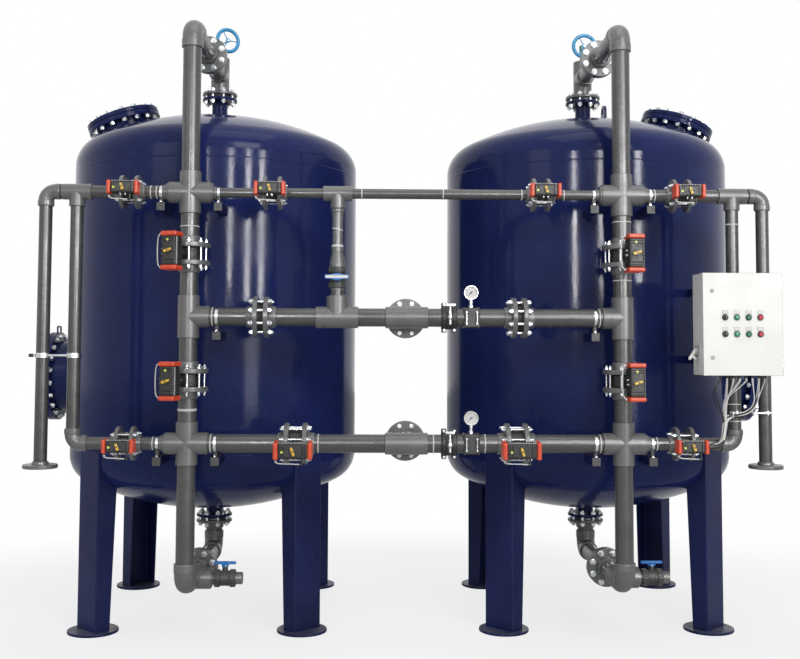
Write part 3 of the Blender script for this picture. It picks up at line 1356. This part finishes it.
def make_cabinet_door(name):
    """The door with its bezels, pockets for the controls, two lamps and two locks."""
    y = door_front() + DOOR_THICKNESS / 2
    middle = (CABINET_X + CABINET_WIDTH / 2, y, CABINET_Z + CABINET_HEIGHT / 2)
    body = block(name, (CABINET_WIDTH, DOOR_THICKNESS, CABINET_HEIGHT),
                 Matrix.Translation(middle))
    as_part(body, name, GREY_WHITE, 0.4)
    for row in range(2):
        for column in range(4):
            point = control_point(column, row)
            proud = LAMP_PROUD if column == LAMP_COLUMN else BEZEL_PROUD
            fuse(body, rod(f"{name}_bezel_{row}_{column}", BEZEL_RADIUS, point + BACK * BITE,
                           point + FRONT * proud, INNER_SIDES))
    for number, z in enumerate((LOCK_INSET, CABINET_HEIGHT - LOCK_INSET)):
        point = Vector((CABINET_X + LOCK_X, door_front(), CABINET_Z + z))
        fuse(body, rod(f"{name}_lock_{number}", LOCK_RADIUS, point + BACK * BITE,
                       point + FRONT * LOCK_PROUD, BORE_SIDES))
    for number, z in enumerate(hinge_heights()):
        low = z + GAP
        fuse(body, hinge_barrel(f"{name}_barrel_{number}", low, low + HINGE_LENGTH / 2, -1))
    for row in range(2):
        for column in (0, 2, 3):
            point = control_point(column, row) + FRONT * BEZEL_PROUD
            radius = running_hole(CAP_RADIUS) if column == 0 else CAP_RADIUS + GAP
            cut(body, rod(f"{name}_pocket_{row}_{column}", radius, point + FRONT * OVERRUN,
                          point + BACK * POCKET_DEPTH, BORE_SIDES))
    return body


def make_cap(name, column, row, colour):
    """A push-button cap in its pocket, free to travel inwards."""
    face = control_point(column, row) + FRONT * BEZEL_PROUD
    inner = face + BACK * (POCKET_DEPTH - BUTTON_TRAVEL - MOULD_STEP)
    body = rod(name, CAP_RADIUS, inner, face + FRONT * CAP_PROUD, BORE_SIDES)
    return as_part(body, name, colour, 0.35)


def make_selector(name, row):
    """A rotary selector with its grip blade."""
    face = control_point(0, row) + FRONT * BEZEL_PROUD
    inner = face + BACK * (POCKET_DEPTH - GAP)
    body = rod(name, CAP_RADIUS, inner, face + FRONT * (CAP_PROUD / 2), BORE_SIDES)
    as_part(body, name, BLACK, 0.4)
    place = Matrix.Translation(face + FRONT * KNOB_PROUD / 2)
    size = (KNOB_BLADE, KNOB_PROUD, KNOB_HEIGHT)
    fuse(body, block(f"{name}_blade", size, place))
    return body


def make_switch_handle(name):
    """The lever of the main switch on the box's left side."""
    face_x = CABINET_X - SWITCH_BASE_PROUD - GAP
    y = CABINET_BACK_Y - CABINET_DEPTH / 2
    start = Vector((CABINET_X + CABINET_WALL, y, SWITCH_Z))
    hub_end = face_x - SWITCH_LEVER[0]
    body = rod(name, SWITCH_SPINDLE, start, (hub_end + BITE, y, SWITCH_Z), BORE_SIDES)
    as_part(body, name, (0.32, 0.33, 0.33), 0.5)
    turn = Matrix.Rotation(math.radians(SWITCH_ANGLE), 4, "X")
    middle = Matrix.Translation((face_x - SWITCH_LEVER[0] / 2, y, SWITCH_Z))
    shift = Matrix.Translation((0, 0, -SWITCH_LEVER_DROP))
    fuse(body, block(f"{name}_lever", SWITCH_LEVER, middle @ turn @ shift))
    return body


def loom_route(offsets):
    """Points of a cable route, given from the box's lower left corner and the pipe line."""
    corner = Vector((CABINET_X, PIPE_Y, CABINET_Z))
    return [corner + Vector(offset) for offset in offsets]


def make_loom(name):
    """Control cables from the glands, gathered into two bundles that meet."""
    left_route = loom_route(LEFT_ROUTE)
    right_route = loom_route(RIGHT_ROUTE)
    actuator_end = OUTER_VALVE_X + SMALL.actuator[0] / 2 + SMALL.cap - BITE / 2
    actuator_y = PIPE_Y - SMALL.reach - SMALL.actuator[2] / 2
    lead_in = (actuator_end + 3 * BUNDLE_RADIUS, actuator_y, LOWER_Z + BITE)
    tail = (actuator_end + GAP, actuator_y, LOWER_Z)
    body = tube(name, (*left_route, lead_in, tail), BUNDLE_RADIUS, BORE_SIDES)
    as_part(body, name, (0.78, 0.78, 0.76), 0.5)
    fuse(body, tube(f"{name}_right_bundle", right_route, RIGHT_BUNDLE_RADIUS, BORE_SIDES))
    for number in range(GLANDS):
        top = gland_point(number) + DOWN * (GLAND_LENGTH + GAP)
        route = left_route if number < LEFT_CABLES else right_route
        gather = route[0]
        inside = gather.lerp(route[1], 0.5)
        middle = top.lerp(gather, 0.5) + DOWN * CABLE_SAG
        points = (top, top + DOWN * CABLE_SAG, middle, gather, inside)
        fuse(body, tube(f"{name}_cable_{number}", points, CABLE_RADIUS, STUD_SIDES))
    return body


def make_cabinet():
    """The cabinet and everything on it."""
    make_cabinet_box("cabinet_box")
    make_cabinet_door("cabinet_door")
    make_switch_handle("main_switch_handle")
    for row, word in enumerate(("lower", "upper")):
        make_selector(f"{word}_selector", row)
        make_cap(f"{word}_start_button", 2, row, (0.02, 0.35, 0.12))
        make_cap(f"{word}_stop_button", 3, row, (0.60, 0.02, 0.03))
    make_loom("cable_loom")


def make_side(side, word):
    """One vessel and the pipes that belong to it."""
    left = side < 0
    turn = VENT_TURN_LEFT if left else VENT_TURN_RIGHT
    reach = VENT_REACH_LEFT if left else VENT_REACH_RIGHT
    make_vessel(f"{word}_vessel", side)
    make_resin_bed(f"{word}_resin_bed", side)
    make_nozzle_riser(f"{word}_top_riser", side, turn, reach)
    make_vent_wheel(f"{word}_vent_handwheel", side, turn, reach)
    make_face_riser(f"{word}_face_riser", side)
    joint = MIDDLE_LEFT_JOINT_X if left else MIDDLE_RIGHT_JOINT_X
    make_mid_spool(f"{word}_middle_spool", side, joint)
    make_lower_spool(f"{word}_lower_spool", side)
    make_bottom_riser(f"{word}_bottom_riser", side)
    make_side_pipes(f"{word}_side_pipes", side, STRAP_Z_LEFT if left else STRAP_Z_RIGHT)
    make_ball_handle(f"{word}_drain_handle", drain_ball_centre(side), UP, HANDLE_LENGTH,
                     HANDLE_THICKNESS)


def build():
    """Make every piece."""
    for side, word in ((-1, "left"), (1, "right")):
        make_side(side, word)
    make_brine_line("brine_line")
    make_ball_handle("brine_valve_handle", brine_valve_centre(), FRONT, BRINE_HANDLE_LENGTH,
                     BRINE_HANDLE_THICKNESS)
    make_header("middle_header", MIDDLE_LEFT_JOINT_X - SPACER_HALF,
                MIDDLE_RIGHT_JOINT_X + SPACER_HALF, MIDDLE_Z, True, True)
    half = INNER_LOWER_VALVE_X - BIG.half - GAP
    make_header("lower_header", -half, half, LOWER_Z, False, False)
    make_gauge_pointer("upper_gauge_pointer", MIDDLE_Z)
    make_gauge_pointer("lower_gauge_pointer", LOWER_Z)
    make_valves()
    make_cabinet()
    seal()
    centre_depth()


build()
